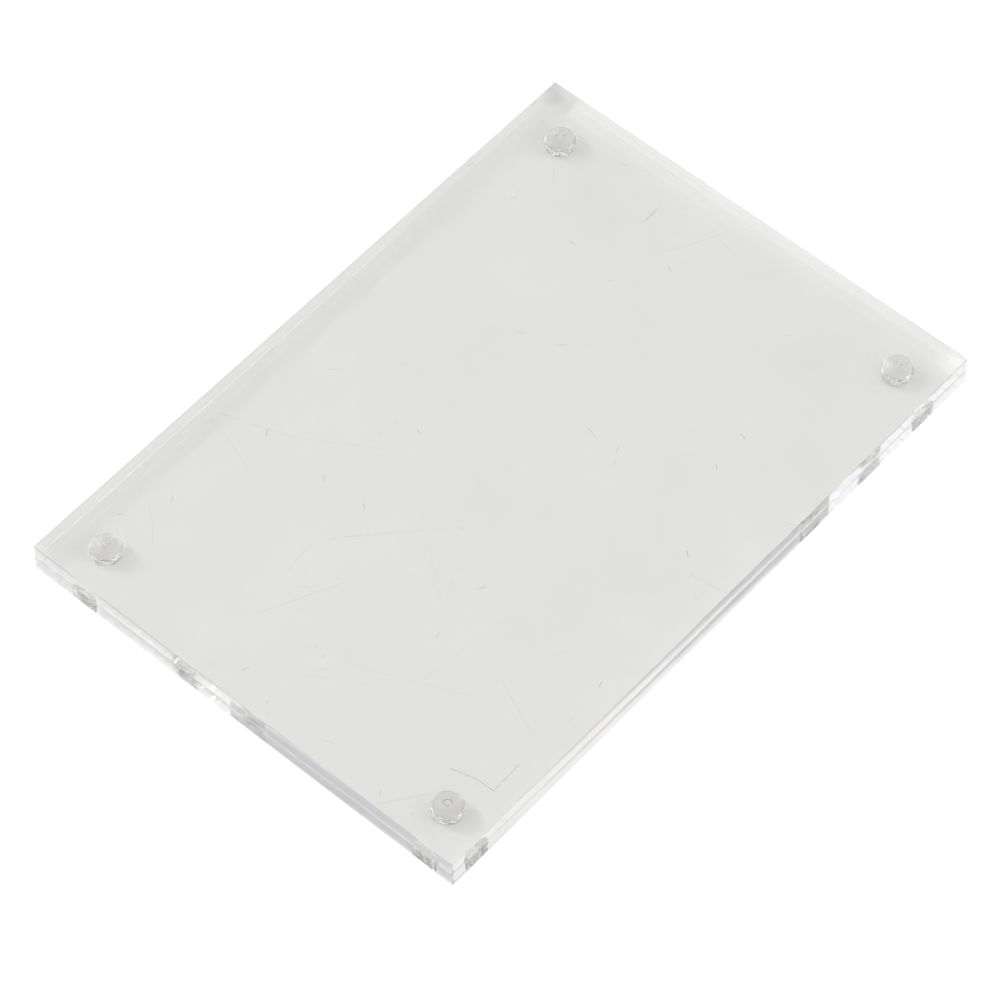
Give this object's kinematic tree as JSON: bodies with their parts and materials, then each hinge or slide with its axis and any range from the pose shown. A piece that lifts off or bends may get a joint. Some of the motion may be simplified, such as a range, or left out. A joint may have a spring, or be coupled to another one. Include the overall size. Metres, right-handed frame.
{
  "type": "acrylic block photo frame",
  "caption": "Clear acrylic block frame: a front plate pushed onto clear corner dowel pins set in a back plate, with a print held between the polished faces.",
  "frame": {"origin": "middle of the back face, on which the frame lies", "axes": "+X across the short side, +Y along the long side towards the top edge, +Z from the back face to the front face"},
  "size_m": [0.09, 0.128, 0.0061],
  "materials": {
    "plate_acrylic": "clear cast acrylic with polished edges",
    "pin_acrylic": "clear acrylic rod, turned ends"
  },
  "bodies": {
    "back": {"back_plate": "plate_acrylic", "pin_top_left": "pin_acrylic", "pin_top_right": "pin_acrylic", "pin_bottom_left": "pin_acrylic", "pin_bottom_right": "pin_acrylic"},
    "front": {"front_plate": "plate_acrylic"}
  },
  "joints": [
    {"name": "front_lift", "type": "slide", "parent": "back", "child": "front", "axis": [0, 0, 1], "range_m": [0, 0.02]}
  ]
}
